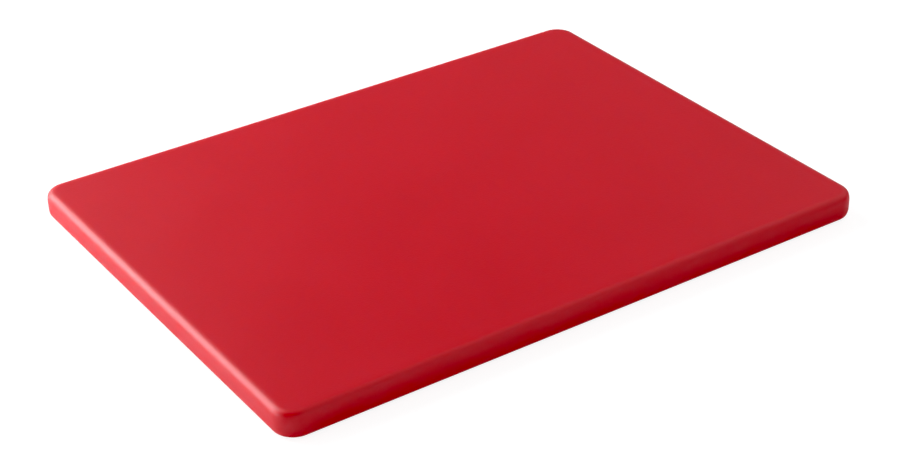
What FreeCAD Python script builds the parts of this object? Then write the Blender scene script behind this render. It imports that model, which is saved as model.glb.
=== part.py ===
"""Commercial polyethylene cutting board: one solid slab, rounded at its corners and along both faces.

The slab is cut from sheet in one piece and has no core, skin, insert, foot, handle, groove or hole, so the
object has a single part. Both faces are cutting faces, and the board is used either way up.

The part's frame: the origin is the centre of the face that the board lies on, +X runs along the long side,
+Y along the short side, and +Z is up through the thickness. Lengths are in millimetres.
"""

import FreeCAD
import Part
import Sketcher
import math
import os

INCH = 25.4

# The driving dimensions. The board is made to a whole-inch size from half-inch sheet.
DIMENSIONS = {
    "board_length": 12 * INCH,  # long side, outside to outside
    "board_width": 9 * INCH,  # short side, outside to outside
    "board_thickness": INCH / 2,  # the sheet that it is cut from
    "corner_radius": 10.5,  # the four corners, seen from above
    "top_edge_radius": INCH / 8,  # round-over along the upper face
    "bottom_edge_radius": INCH / 8,  # round-over along the lower face
}

NEARLY_LEVEL = 1e-6  # how far, in mm, an edge's height may be from a face's height


def make_sheet(doc):
    """The spreadsheet that holds the driving dimensions, one named cell to a row."""
    sheet = doc.addObject("Spreadsheet::Sheet", "Sizes")
    for row, (name, value) in enumerate(DIMENSIONS.items(), start=1):
        sheet.set(f"A{row}", name)
        sheet.set(f"B{row}", str(value))
        sheet.setAlias(f"B{row}", name)
    doc.recompute()
    return sheet


def origin_plane(body, role):
    """One of the body's own origin planes, found by its role."""
    return next(feature for feature in body.Origin.OriginFeatures if feature.Role == role)


def draw_outline(sketch, sheet):
    """A rounded rectangle centred on the origin, with its sides and its corners bound to the sheet.

    The sides run anticlockwise from the lower one, and corner n joins side n to side n + 1.
    """
    half_length = sheet.board_length / 2
    half_width = sheet.board_width / 2
    radius = sheet.corner_radius
    straight_x = half_length - radius
    straight_y = half_width - radius

    side_ends = [
        ((-straight_x, -half_width), (straight_x, -half_width)),
        ((half_length, -straight_y), (half_length, straight_y)),
        ((straight_x, half_width), (-straight_x, half_width)),
        ((-half_length, straight_y), (-half_length, -straight_y)),
    ]
    sides = []
    for start, end in side_ends:
        line = Part.LineSegment(FreeCAD.Vector(*start), FreeCAD.Vector(*end))
        sides.append(sketch.addGeometry(line, False))

    corner_centres = [
        (straight_x, -straight_y),
        (straight_x, straight_y),
        (-straight_x, straight_y),
        (-straight_x, -straight_y),
    ]
    upwards = FreeCAD.Vector(0, 0, 1)
    quarter_turn = math.pi / 2
    corners = []
    for number, centre in enumerate(corner_centres):
        circle = Part.Circle(FreeCAD.Vector(*centre), upwards, radius)
        first_angle = (number - 1) * quarter_turn
        arc = Part.ArcOfCircle(circle, first_angle, first_angle + quarter_turn)
        corners.append(sketch.addGeometry(arc, False))

    constrain_outline(sketch, sides, corners, sheet)


def constrain_outline(sketch, sides, corners, sheet):
    """Makes the outline closed, tangent, square, centred and of the sheet's sizes."""
    start, end, centre = 1, 2, 3
    origin = (-1, 1)
    add = sketch.addConstraint
    for number, corner in enumerate(corners):
        add(Sketcher.Constraint("Tangent", sides[number], end, corner, start))
        add(Sketcher.Constraint("Tangent", corner, end, sides[(number + 1) % len(sides)], start))
    lower, right, upper, left = sides
    add(Sketcher.Constraint("Horizontal", lower))
    add(Sketcher.Constraint("Horizontal", upper))
    add(Sketcher.Constraint("Vertical", right))
    add(Sketcher.Constraint("Vertical", left))
    for corner in corners[1:]:
        add(Sketcher.Constraint("Equal", corners[0], corner))
    add(Sketcher.Constraint("Symmetric", corners[0], centre, corners[2], centre, *origin))

    driven = {
        "length": ("DistanceX", (left, start, right, start), "board_length"),
        "width": ("DistanceY", (lower, start, upper, start), "board_width"),
        "corner": ("Radius", (corners[0],), "corner_radius"),
    }
    for name, (kind, places, cell) in driven.items():
        index = add(Sketcher.Constraint(kind, *places, getattr(sheet, cell)))
        sketch.renameConstraint(index, name)
        sketch.setExpression(f"Constraints.{name}", f"Sizes.{cell}")


def edges_at(shape, height):
    """The names of the edges of a shape that lie level at that height."""
    return [
        f"Edge{number}"
        for number, edge in enumerate(shape.Edges, start=1)
        if all(abs(vertex.Z - height) < NEARLY_LEVEL for vertex in edge.Vertexes)
    ]


def round_over(body, name, height, cell):
    """Rounds the whole rim at that height, to a radius from the sheet."""
    base = body.Tip
    fillet = body.newObject("PartDesign::Fillet", name)
    fillet.Base = (base, edges_at(base.Shape, height))
    fillet.setExpression("Radius", f"Sizes.{cell}")
    body.Tip = fillet
    body.Document.recompute()
    return fillet


def make_board(doc, sheet):
    """The slab: the outline padded up through the sheet's thickness, then both rims rounded over."""
    body = doc.addObject("PartDesign::Body", "Board")
    body.Label = "board"

    outline = body.newObject("Sketcher::SketchObject", "Outline")
    outline.AttachmentSupport = (origin_plane(body, "XY_Plane"), [""])
    outline.MapMode = "FlatFace"
    draw_outline(outline, sheet)
    doc.recompute()
    if not outline.FullyConstrained:
        raise RuntimeError("the outline has freedom left in it")

    slab = body.newObject("PartDesign::Pad", "Slab")
    slab.Profile = outline
    slab.setExpression("Length", "Sizes.board_thickness")
    body.Tip = slab
    doc.recompute()

    round_over(body, "TopRim", sheet.board_thickness, "top_edge_radius")
    round_over(body, "BottomRim", 0.0, "bottom_edge_radius")

    body.Placement = FreeCAD.Placement()
    return body


def check(doc, parts):
    """Stops the build if any object failed to compute, or a part isn't one valid closed solid."""
    for item in doc.Objects:
        if "Invalid" in item.State or "Error" in item.State:
            raise RuntimeError(f"{item.Label} failed: {item.State}")
    for part in parts:
        shape = part.Shape
        if shape.isNull() or not shape.isValid() or len(shape.Solids) != 1:
            raise RuntimeError(f"{part.Label} is not one valid solid")


def main():
    doc = FreeCAD.newDocument("CuttingBoard")
    sheet = make_sheet(doc)
    parts = [make_board(doc, sheet)]
    doc.recompute()
    check(doc, parts)
    os.makedirs("parts", exist_ok=True)
    for part in parts:
        part.Shape.exportStep(f"parts/{part.Label}.step")
        box = part.Shape.optimalBoundingBox(False, False)
        print(
            f"{part.Label}: {box.XLength:.2f} x {box.YLength:.2f} x {box.ZLength:.2f} mm, "
            f"{part.Shape.Volume / 1000:.1f} cm3"
        )


main()
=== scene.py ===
"""The looks of the cutting board: a fine mesh of the slab, its plastic, the floor, the light and the camera.

Lengths are in metres and angles in degrees. The board lies as in the CAD model: its underside is on z = 0,
+X runs along its long side and +Y along its short side.
"""

import math

import bpy
from mathutils import Matrix, Vector, noise


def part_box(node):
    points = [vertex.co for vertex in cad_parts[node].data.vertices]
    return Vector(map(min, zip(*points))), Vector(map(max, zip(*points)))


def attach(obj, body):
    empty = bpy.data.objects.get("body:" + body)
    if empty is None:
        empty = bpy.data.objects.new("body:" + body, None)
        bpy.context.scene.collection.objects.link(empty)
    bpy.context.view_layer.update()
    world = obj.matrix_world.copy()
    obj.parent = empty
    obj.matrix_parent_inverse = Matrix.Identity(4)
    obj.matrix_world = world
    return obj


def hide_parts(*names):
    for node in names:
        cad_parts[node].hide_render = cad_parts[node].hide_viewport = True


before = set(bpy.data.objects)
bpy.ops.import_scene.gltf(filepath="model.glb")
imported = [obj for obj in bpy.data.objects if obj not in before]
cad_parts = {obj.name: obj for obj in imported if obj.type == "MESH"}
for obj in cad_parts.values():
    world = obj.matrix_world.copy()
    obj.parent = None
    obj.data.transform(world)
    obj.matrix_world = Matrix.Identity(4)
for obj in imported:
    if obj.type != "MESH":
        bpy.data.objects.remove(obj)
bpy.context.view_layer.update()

NODE = "board"

# The slab, as in the CAD model, except that its rims open out towards the face and towards the wall.
LOW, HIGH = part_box(NODE)
LENGTH, WIDTH, THICKNESS = HIGH - LOW
CORNER_RADIUS = 0.0105
RIM_RADIUS = 0.0024  # half way round the rim, where it bends most
RIM_EASE = 4.0  # how many times RIM_RADIUS is added to the radius at the rim's two ends

# The mesh. Rings run round the board, and a grid fills each face inside the corners' centres.
CELL = 0.004  # along the straight sides
CORNER_STEPS = 16
RIM_STEPS = 20
WALL_STEPS = 6
FACE_INSETS = (0.0052, 0.0062, 0.0080)  # rings on each face, from the rim inwards

# How far the real slab falls short of a true one, always inwards.
FACE_WAVE = 0.00005
WALL_WAVE = 0.00006
WAVE_LENGTH = 0.070
WAVE_RISE = 3  # the waves are this many times shorter up the wall than along it
WAVE_APART = 10.0  # between one layer of waves and the next, in wavelengths

# The plastic. Light goes a few millimetres into it, and red light furthest.
DARKER_RED = (0.430, 0.0055, 0.0145, 1.0)
LIGHTER_RED = (0.450, 0.0063, 0.0165, 1.0)
CLOUDS_PER_METRE = 26.0
PIGMENT_PER_METRE = 900.0
RED_RANGE = (0.35, 0.65)  # the shares of the noise that give the darker and the lighter red
FACE_ROUGHNESS = (0.40, 0.44)
EDGE_ROUGHNESS = (0.46, 0.50)
POLYETHYLENE_IOR = 1.51
SCATTER_BY_COLOR = (1.0, 0.12, 0.10)
SCATTER_DEPTH = 0.0045
STIPPLE_SIZE = 0.0006
STIPPLE_HEIGHT = 0.000025
CUTTER_SCALE = (1300.0, 1300.0, 50.0)  # marks per metre along each axis, so they run up the wall
CUTTER_HEIGHT = 0.000010

# The camera looks at a point beside the board's middle, from this direction and distance.
AIM_FROM_MIDDLE = Vector((-0.01557, -0.02691, 0.0))
AZIMUTH, ELEVATION, ROLL = -33.30, 30.70, -1.45
DISTANCE = 0.9133
FOCAL_LENGTH_MM, SENSOR_MM = 80.85, 36.0

# The picture's ground and tones. The camera sees a whiter floor and sky than those that light the board.
FLOOR_HALF = 4.0
FLOOR_DROP = 0.0002  # how far the floor is below the board
PAPER_WHITE = 0.85
PAPER_GLOW = 1.15
GLOW_SHARE = 0.75  # of what the camera sees of the floor
SKY_LIGHT = 0.15
SKY_SEEN = 0.95
BLACK_POINT = 0.035


# ---------------------------------------------------------------- mesh


def outline():
    """The corner centres and the sides between them, once round: anchors, outward directions and cells.

    A ring at some inset from the outer wall is anchor + outward * (CORNER_RADIUS - inset). A cell names the
    grid point that the ring point faces: the side that it is on, and the step along that side.
    """
    half = Vector((LENGTH / 2 - CORNER_RADIUS, WIDTH / 2 - CORNER_RADIUS))
    counts = [round(2 * half.x / CELL), round(2 * half.y / CELL)] * 2
    centres = [
        Vector((-half.x, -half.y)),
        Vector((half.x, -half.y)),
        Vector((half.x, half.y)),
        Vector((-half.x, half.y)),
    ]
    anchors, outwards, cells = [], [], []
    for side, count in enumerate(counts):
        start, end = centres[side], centres[(side + 1) % 4]
        first_angle = (side - 1) * math.pi / 2
        facing = Vector((math.cos(first_angle), math.sin(first_angle)))
        for step in range(count):
            anchors.append(start.lerp(end, step / count))
            outwards.append(facing)
            cells.append((side, step))
        for step in range(CORNER_STEPS):
            angle = first_angle + step / CORNER_STEPS * math.pi / 2
            anchors.append(end)
            outwards.append(Vector((math.cos(angle), math.sin(angle))))
            cells.append((side, count))
    return anchors, outwards, cells, counts


def rim():
    """The rim's section, from the face out to the wall: (inset, height above the face, share of flat face).

    Its bend is tightest half way round and opens out towards the face and towards the wall.
    """
    steps = []
    for step in range(RIM_STEPS):
        turned = (step + 0.5) / RIM_STEPS
        angle = turned * math.pi / 2
        radius = RIM_RADIUS * (1 + RIM_EASE * abs(2 * turned - 1) ** 3)
        length = radius * math.pi / 2 / RIM_STEPS
        steps.append((length * math.cos(angle), length * math.sin(angle)))
    inset, height = sum(inwards for inwards, _ in steps), 0.0
    section = [(inset, height, 1.0)]
    for number, (inwards, upwards) in enumerate(steps, start=1):
        inset -= inwards
        height += upwards
        section.append((max(inset, 0.0), height, 1 - number / RIM_STEPS))
    return section


def profile():
    """The edge's section, from the underside up to the upper face: (inset, height, share of flat face)."""
    lower_face = [(inset, 0.0, 1.0) for inset in reversed(FACE_INSETS)]
    lower_rim = rim()
    rim_height = lower_rim[-1][1]
    wall_height = THICKNESS - 2 * rim_height
    wall = [
        (0.0, rim_height + wall_height * step / WALL_STEPS, 0.0)
        for step in range(1, WALL_STEPS)
    ]
    lower = lower_face + lower_rim
    upper = [(inset, THICKNESS - height, flat) for inset, height, flat in reversed(lower)]
    return lower + wall + upper


def wave(point, layer):
    """A smooth value from 0 to 1 that changes slowly over the board."""
    place = Vector((point.x, point.y, WAVE_RISE * point.z)) / WAVE_LENGTH
    return 0.5 + 0.5 * noise.noise(place + Vector((0, 0, WAVE_APART * layer)))


def settled(point, outward, flat):
    """The point moved inwards by the slab's unevenness."""
    inward = Vector((-outward.x, -outward.y, 0)) * WALL_WAVE * wave(point, 1) * (1 - flat)
    towards_middle = -1 if point.z > THICKNESS / 2 else 1
    sunk = Vector((0, 0, towards_middle * FACE_WAVE * wave(point, 2) * flat))
    return point + inward + sunk


def ring_points(anchors, outwards, section):
    """The points of every ring, from the underside to the upper face, and their shares of flat face."""
    points, flats = [], []
    for inset, height, flat in section:
        for anchor, outward in zip(anchors, outwards):
            place = anchor + outward * (CORNER_RADIUS - inset)
            points.append(settled(Vector((*place, height)), outward, flat))
            flats.append(flat)
    return points, flats


def ring_faces(rings, around):
    """The quads between each ring and the next."""
    faces = []
    for ring in range(rings - 1):
        low, high = ring * around, (ring + 1) * around
        for step in range(around):
            following = (step + 1) % around
            faces.append((low + step, low + following, high + following, high + step))
    return faces


def grid_points(corner, across, deep, height):
    """The grid that fills a face, in rows along the long side, from this corner's centre to the opposite."""
    far = -corner
    points = []
    for row in range(deep + 1):
        for column in range(across + 1):
            x = corner.x + (far.x - corner.x) * column / across
            y = corner.y + (far.y - corner.y) * row / deep
            points.append(settled(Vector((x, y, height)), Vector((0, 0)), 1.0))
    return points


def grid_index(across, deep, side, step):
    """The number of the grid point that is so many steps along one side of the grid."""
    column, row = [(step, 0), (across, step), (across - step, deep), (0, deep - step)][side]
    return row * (across + 1) + column


def face_cover(ring_start, grid_start, cells, across, deep):
    """One side of the slab, seen from above: the grid's quads, and the faces that join it to a ring."""
    faces = []
    for row in range(deep):
        for column in range(across):
            a = grid_start + row * (across + 1) + column
            faces.append((a, a + 1, a + across + 2, a + across + 1))
    rim_of_grid = [grid_start + grid_index(across, deep, *cell) for cell in cells]
    for step in range(len(cells)):
        following = (step + 1) % len(cells)
        outer = (ring_start + step, ring_start + following)
        inner = (rim_of_grid[following], rim_of_grid[step])
        faces.append(outer + (inner if inner[0] != inner[1] else inner[:1]))
    return faces


def board_mesh():
    anchors, outwards, cells, (across, deep, *_) = outline()
    section = profile()
    around = len(anchors)
    points, flats = ring_points(anchors, outwards, section)
    faces = ring_faces(len(section), around)

    for height, ring, upwards in ((0.0, 0, False), (THICKNESS, len(section) - 1, True)):
        cover = face_cover(ring * around, len(points), cells, across, deep)
        faces += cover if upwards else [face[::-1] for face in cover]
        points += grid_points(anchors[0], across, deep, height)
    flats += [1.0] * (len(points) - len(flats))

    mesh = bpy.data.meshes.new("board_slab")
    mesh.from_pydata(points, [], faces)
    mesh.attributes.new("flat_face", "FLOAT", "POINT").data.foreach_set("value", flats)
    mesh.shade_smooth()
    mesh.update()
    return mesh


# ---------------------------------------------------------------- material


def empty_material(name):
    material = bpy.data.materials.new(name)
    material.use_nodes = True
    material.node_tree.nodes.clear()
    return material


def add_node(tree, kind, inputs=None, **settings):
    """A new node. Each input is a plain value, or another node's output to link to."""
    node = tree.nodes.new(kind)
    for name, value in settings.items():
        setattr(node, name, value)
    for name, value in (inputs or {}).items():
        if isinstance(value, bpy.types.NodeSocket):
            tree.links.new(value, node.inputs[name])
        else:
            node.inputs[name].default_value = value
    return node


def worked_out(tree, operation, first, second):
    """The result of one sum on two values."""
    return add_node(tree, "ShaderNodeMath", {0: first, 1: second}, operation=operation).outputs[0]


def noise_value(tree, coordinates, scale, detail):
    """Smooth noise from 0 to 1."""
    node = add_node(
        tree, "ShaderNodeTexNoise", {"Vector": coordinates, "Scale": scale, "Detail": detail}
    )
    return node.outputs["Fac"]


def between(tree, share, low, high):
    """The low value where share is 0 and the high one where it is 1."""
    node = add_node(tree, "ShaderNodeMapRange", {"Value": share, "To Min": low, "To Max": high})
    return node.outputs["Result"]


def mixed_reds(tree, here, clouds):
    """The pigment's colour: broad clouds and a fine grain, both faint."""
    grain = noise_value(tree, here, PIGMENT_PER_METRE, 2.0)
    share = worked_out(tree, "MULTIPLY", worked_out(tree, "ADD", clouds, grain), 0.5)
    colors = add_node(tree, "ShaderNodeValToRGB", {"Fac": share})
    low, high = colors.color_ramp.elements
    low.position, high.position = RED_RANGE
    low.color, high.color = DARKER_RED, LIGHTER_RED
    return colors.outputs["Color"]


def mixed_roughness(tree, flat, clouds):
    """Smoother on the faces than on the edge, and a little cloudy on both."""
    face = between(tree, clouds, *FACE_ROUGHNESS)
    edge = between(tree, clouds, *EDGE_ROUGHNESS)
    return add_node(tree, "ShaderNodeMix", {0: flat, 2: edge, 3: face}, data_type="FLOAT").outputs[0]


def surface_relief(tree, here, flat):
    """A pressed stipple on the faces, and a cutter's faint upright marks on the edge."""
    stipple = add_node(
        tree,
        "ShaderNodeTexVoronoi",
        {"Vector": here, "Scale": 1 / STIPPLE_SIZE, "Smoothness": 1.0},
        feature="SMOOTH_F1",
    )
    pressed = add_node(
        tree,
        "ShaderNodeBump",
        {
            "Height": worked_out(tree, "MULTIPLY", stipple.outputs["Distance"], flat),
            "Distance": STIPPLE_HEIGHT,
        },
    )
    upright = add_node(tree, "ShaderNodeMapping", {"Vector": here, "Scale": CUTTER_SCALE})
    marks = noise_value(tree, upright.outputs["Vector"], 1.0, 2.0)
    edge = worked_out(tree, "SUBTRACT", 1.0, flat)
    machined = add_node(
        tree,
        "ShaderNodeBump",
        {
            "Height": worked_out(tree, "MULTIPLY", marks, edge),
            "Distance": CUTTER_HEIGHT,
            "Normal": pressed.outputs["Normal"],
        },
    )
    return machined.outputs["Normal"]


def polyethylene():
    """Red polyethylene: pressed with a fine stipple on both faces, and cut smooth round the edge."""
    material = empty_material("red_polyethylene")
    tree = material.node_tree
    here = add_node(tree, "ShaderNodeTexCoord").outputs["Object"]
    flat = add_node(tree, "ShaderNodeAttribute", attribute_name="flat_face").outputs["Fac"]
    clouds = noise_value(tree, here, CLOUDS_PER_METRE, 3.0)
    plastic = add_node(
        tree,
        "ShaderNodeBsdfPrincipled",
        {
            "Base Color": mixed_reds(tree, here, clouds),
            "Roughness": mixed_roughness(tree, flat, clouds),
            "Normal": surface_relief(tree, here, flat),
            "IOR": POLYETHYLENE_IOR,
            "Subsurface Weight": 1.0,
            "Subsurface Radius": SCATTER_BY_COLOR,
            "Subsurface Scale": SCATTER_DEPTH,
        },
    )
    add_node(tree, "ShaderNodeOutputMaterial", {"Surface": plastic.outputs["BSDF"]})
    return material


# ---------------------------------------------------------------- stage


def grey(value):
    return (value, value, value, 1.0)


def floor_paper():
    """White paper that glows for the camera alone, as on a light table, so that shadows on it are faint."""
    material = empty_material("floor_paper")
    tree = material.node_tree
    paper = add_node(tree, "ShaderNodeBsdfDiffuse", {"Color": grey(PAPER_WHITE)})
    glow = add_node(tree, "ShaderNodeEmission", {"Color": grey(1.0), "Strength": PAPER_GLOW})
    seen = add_node(tree, "ShaderNodeLightPath").outputs["Is Camera Ray"]
    share = worked_out(tree, "MULTIPLY", seen, GLOW_SHARE)
    mix = add_node(tree, "ShaderNodeMixShader", {0: share, 1: paper.outputs[0], 2: glow.outputs[0]})
    add_node(tree, "ShaderNodeOutputMaterial", {"Surface": mix.outputs[0]})
    return material


def make_floor():
    mesh = bpy.data.meshes.new("floor")
    directions = ((-1, -1), (1, -1), (1, 1), (-1, 1))
    corners = [(x * FLOOR_HALF, y * FLOOR_HALF, -FLOOR_DROP) for x, y in directions]
    mesh.from_pydata(corners, [], [(0, 1, 2, 3)])
    mesh.materials.append(floor_paper())
    floor = bpy.data.objects.new("floor", mesh)
    bpy.context.scene.collection.objects.link(floor)


def make_world():
    """A dim sky that lights the board evenly, and that the camera sees as nearly white."""
    world = bpy.data.worlds.new("studio")
    bpy.context.scene.world = world
    world.use_nodes = True
    tree = world.node_tree
    tree.nodes.clear()
    light = add_node(tree, "ShaderNodeBackground", {"Color": grey(1.0), "Strength": SKY_LIGHT})
    seen = add_node(tree, "ShaderNodeBackground", {"Color": grey(SKY_SEEN), "Strength": 1.0})
    path = add_node(tree, "ShaderNodeLightPath").outputs["Is Camera Ray"]
    mix = add_node(tree, "ShaderNodeMixShader", {0: path, 1: light.outputs[0], 2: seen.outputs[0]})
    add_node(tree, "ShaderNodeOutputWorld", {"Surface": mix.outputs[0]})


def direction(azimuth, elevation):
    """From the board towards something seen at these angles. Azimuth 0 is -Y and 90 is +X."""
    azimuth, elevation = math.radians(azimuth), math.radians(elevation)
    level = math.cos(elevation)
    return Vector((math.sin(azimuth) * level, -math.cos(azimuth) * level, math.sin(elevation)))


def add_softbox(name, azimuth, elevation, distance, size, power):
    """A rectangular light that faces the board's middle."""
    light = bpy.data.lights.new(name, "AREA")
    light.shape = "RECTANGLE"
    light.size, light.size_y = size
    light.energy = power
    lamp = bpy.data.objects.new(name, light)
    bpy.context.scene.collection.objects.link(lamp)
    towards = direction(azimuth, elevation)
    lamp.location = towards * distance
    lamp.rotation_euler = (-towards).to_track_quat("-Z", "Y").to_euler()


def make_lights():
    """The key light is behind the board's left corner, so the board is darker towards its front corner."""
    add_softbox("key", -155, 34, 1.6, (1.1, 1.1), 34)
    add_softbox("low_side", -120, 9, 1.0, (1.2, 0.4), 11)
    add_softbox("front", -5, 18, 1.5, (2.4, 1.3), 11)
    add_softbox("overhead", 80, 52, 2.2, (3.4, 2.8), 28)
    add_softbox("low_back", 142, 16, 2.0, (2.2, 0.9), 2.2)


def make_tones():
    """The picture's tones: plain, with its black point raised a little, as in a catalogue picture."""
    settings = bpy.context.scene.view_settings
    settings.view_transform = "Standard"
    settings.use_curve_mapping = True
    settings.curve_mapping.black_level = [BLACK_POINT] * 3
    settings.curve_mapping.update()


def make_camera():
    target = (LOW + HIGH) / 2 + AIM_FROM_MIDDLE
    roll = math.radians(ROLL)
    back = direction(AZIMUTH, ELEVATION)
    right = Vector((0, 0, 1)).cross(back).normalized()
    up = back.cross(right)
    rolled_right = math.cos(roll) * right + math.sin(roll) * up
    rolled_up = math.cos(roll) * up - math.sin(roll) * right

    camera_data = bpy.data.cameras.new("camera")
    camera_data.lens = FOCAL_LENGTH_MM
    camera_data.sensor_width = SENSOR_MM
    camera_data.sensor_fit = "HORIZONTAL"
    camera = bpy.data.objects.new("camera", camera_data)
    bpy.context.scene.collection.objects.link(camera)
    matrix = Matrix((rolled_right, rolled_up, back)).transposed().to_4x4()
    matrix.translation = target + back * DISTANCE
    camera.matrix_world = matrix
    bpy.context.scene.camera = camera


def main():
    board = bpy.data.objects.new("cutting_board", board_mesh())
    bpy.context.scene.collection.objects.link(board)
    board.data.materials.append(polyethylene())
    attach(board, "root")
    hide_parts(NODE)

    make_floor()
    make_world()
    make_lights()
    make_camera()
    make_tones()

    bpy.context.view_layer.update()


main()
